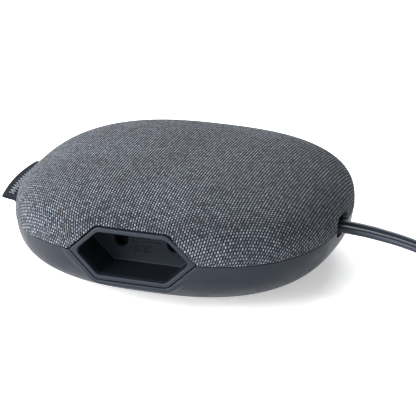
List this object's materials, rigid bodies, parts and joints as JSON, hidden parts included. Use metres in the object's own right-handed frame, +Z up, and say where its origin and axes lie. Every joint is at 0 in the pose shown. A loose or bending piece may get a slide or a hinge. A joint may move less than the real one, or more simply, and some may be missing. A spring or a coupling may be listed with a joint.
{
  "type": "tabletop extension socket",
  "caption": "Pebble-shaped table-top mains extension hub with a woven cloth dome, two hexagonal two-pin sockets with sliding shutters, a cloth tag and a coiled flat flex with its plug.",
  "frame": {"origin": "centre of the foot pad's underside, on the table", "axes": "+Z up, +X towards the end that the flex leaves, -X towards the cloth tag, -Y out of the front socket, +Y out of the rear socket"},
  "size_m": [0.227, 0.1271, 0.0404],
  "materials": {
    "shell": "fine satin, dark blue-grey",
    "socket_plastic": "fine satin, dark blue-grey",
    "inner_plastic": "moulded black",
    "cloth": "heathered grey plain weave",
    "ribbon": "dark woven ribbon",
    "silicone": "matt silicone",
    "insulator": "moulded black thermoset",
    "brass": "bright rolled brass",
    "steel": "zinc-plated steel",
    "flex": "soft dark blue-grey PVC",
    "plug_plastic": "moulded dark blue-grey PVC",
    "core_brown": "brown core insulation",
    "core_blue": "blue core insulation"
  },
  "bodies": {
    "housing": {"base_shell": "shell", "top_shell": "inner_plastic", "fabric_cover": "cloth", "foot_pad": "silicone", "label_tag": "ribbon", "socket_cup_front": "socket_plastic", "socket_cup_rear": "socket_plastic", "shutter_spring_front": "steel", "shutter_spring_rear": "steel", "contact_block_front": "insulator", "contact_block_rear": "insulator", "contact_clip_front_live": "brass", "contact_clip_front_neutral": "brass", "contact_clip_rear_live": "brass", "contact_clip_rear_neutral": "brass", "block_screw_front_left": "steel", "block_screw_front_right": "steel", "block_screw_rear_left": "steel", "block_screw_rear_right": "steel", "base_screw_1": "steel", "base_screw_2": "steel", "base_screw_3": "steel", "base_screw_4": "steel", "busbar_live": "brass", "busbar_neutral": "brass", "terminal_live": "brass", "terminal_neutral": "brass", "core_live": "core_brown", "core_neutral": "core_blue", "cord_tail": "flex", "cord_clamp": "inner_plastic", "clamp_screw_1": "steel", "clamp_screw_2": "steel", "cord_grommet": "shell", "cord": "flex", "cord_end": "flex", "cord_coil": "flex", "coil_tie": "silicone", "plug_body": "plug_plastic", "plug_pin_left": "brass", "plug_pin_right": "brass", "plug_sleeve_left": "inner_plastic", "plug_sleeve_right": "inner_plastic"},
    "front_shutter": {"shutter_front": "inner_plastic"},
    "rear_shutter": {"shutter_rear": "inner_plastic"}
  },
  "joints": [
    {"name": "front_shutter_slide", "type": "slide", "parent": "housing", "child": "front_shutter", "axis": [1, 0, 0], "range_m": [0, 0.0052], "stiffness_N_per_m": 130, "springref_m": -0.004, "deforming": ["shutter_spring_front"]},
    {"name": "rear_shutter_slide", "type": "slide", "parent": "housing", "child": "rear_shutter", "axis": [-1, 0, 0], "range_m": [0, 0.0052], "stiffness_N_per_m": 130, "springref_m": -0.004, "deforming": ["shutter_spring_rear"]}
  ]
}
